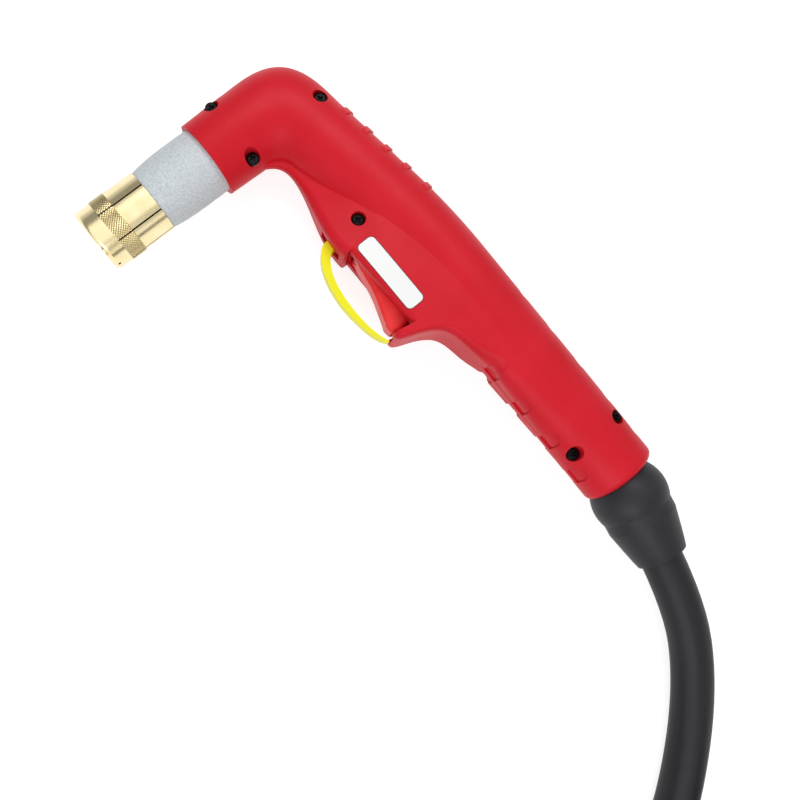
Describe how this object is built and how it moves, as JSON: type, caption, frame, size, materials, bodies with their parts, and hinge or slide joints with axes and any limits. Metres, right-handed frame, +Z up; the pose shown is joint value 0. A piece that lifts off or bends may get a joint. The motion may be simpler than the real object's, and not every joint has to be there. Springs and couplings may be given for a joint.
{
  "type": "plasma cutting torch",
  "caption": "Hand torch with a bent two-shell handle, trigger and flip-up safety lever, slotted brass cap on a moulded head, swivel boot and a coiled lead with its connector.",
  "frame": {"origin": "on the floor under the middle of the torch as it lies on its side, lead left out", "axes": "+X along the handle towards the lead, -Y towards the trigger and out of the nozzle, +Z up, square to the plane where the shells meet"},
  "size_m": [0.6508, 0.2663, 0.0971],
  "materials": {
    "red_shell": "moulded, fine satin grain",
    "red_trigger": "moulded, smooth",
    "yellow_lever": "moulded, smooth",
    "screw_steel": "blackened",
    "steel": "bright",
    "label": "printed blank",
    "insulator": "fibre filled moulding",
    "swirl": "turned",
    "brass": "turned, bright",
    "copper": "turned",
    "hafnium": "ground",
    "black_plastic": "moulded",
    "black_rubber": "moulded",
    "cable_sheath": "extruded sheath",
    "wire_red": "extruded",
    "wire_white": "extruded"
  },
  "bodies": {
    "handle": {"upper_shell": "red_shell", "lower_shell": "red_shell", "shell_screws": "screw_steel", "label_plate": "label", "head_sleeve": "insulator", "sleeve_o_ring": "black_rubber", "cathode_body": "brass", "electrode": "copper", "electrode_insert": "hafnium", "swirl_ring": "swirl", "cap_ring": "brass", "pilot_terminal": "brass", "gas_tube": "copper", "lead_nut": "brass", "lead_hose": "black_rubber", "pilot_wire": "wire_white", "trigger_pin": "steel", "trigger_spring": "steel", "switch_body": "black_plastic", "switch_leads": "wire_white", "safety_pin": "steel"},
    "trigger": {"trigger": "red_trigger"},
    "plunger": {"switch_plunger": "wire_red"},
    "guard": {"safety_lever": "yellow_lever"},
    "tip": {"nozzle": "copper"},
    "cap": {"retaining_cap": "brass"},
    "lead": {"cable_boot": "black_rubber", "swivel_core": "steel", "swivel_flange": "steel", "cable_run": "cable_sheath", "cable_coil": "cable_sheath", "connector_sleeve": "black_rubber", "connector_body": "black_plastic", "contact_pins": "brass"},
    "coupling": {"coupling_nut": "black_plastic"}
  },
  "joints": [
    {"name": "trigger_hinge", "type": "hinge", "parent": "handle", "child": "trigger", "pos_m": [-0.0496, 0.0188, 0.018], "axis": [0, 0, 1], "range_deg": [0, 8], "stiffness_Nm_per_rad": 1.2, "springref_deg": -5.73},
    {"name": "plunger_slide", "type": "slide", "parent": "handle", "child": "plunger", "axis": [0, 1, 0], "range_m": [0, 0.0015]},
    {"name": "safety_hinge", "type": "hinge", "parent": "handle", "child": "guard", "pos_m": [-0.06259, 0.0174, 0.018], "axis": [0, 0, -1], "range_deg": [0, 40]},
    {"name": "cap_travel", "type": "slide", "parent": "handle", "child": "tip", "axis": [0, -1, 0], "range_m": [0, 0.0061]},
    {"name": "cap_thread", "type": "hinge", "parent": "tip", "child": "cap", "pos_m": [-0.1254, -0.0362, 0.018], "axis": [0, -1, 0], "range_deg": [0, 1440]},
    {"name": "swivel_hinge", "type": "hinge", "parent": "handle", "child": "lead", "pos_m": [0.1112, 0.04605, 0.018], "axis": [0, 0, 1], "range_deg": [-10, 10]},
    {"name": "coupling_spin", "type": "hinge", "parent": "lead", "child": "coupling", "pos_m": [0.32945, -0.16969, 0.0787], "axis": [0.309, -0.9511, 0], "continuous": true}
  ],
  "couplings": [
    {"joint": "plunger_slide", "follows": "trigger_hinge", "m_per_rad": 0.01},
    {"joint": "cap_travel", "follows": "cap_thread", "m_per_rad": 0.00023873}
  ]
}
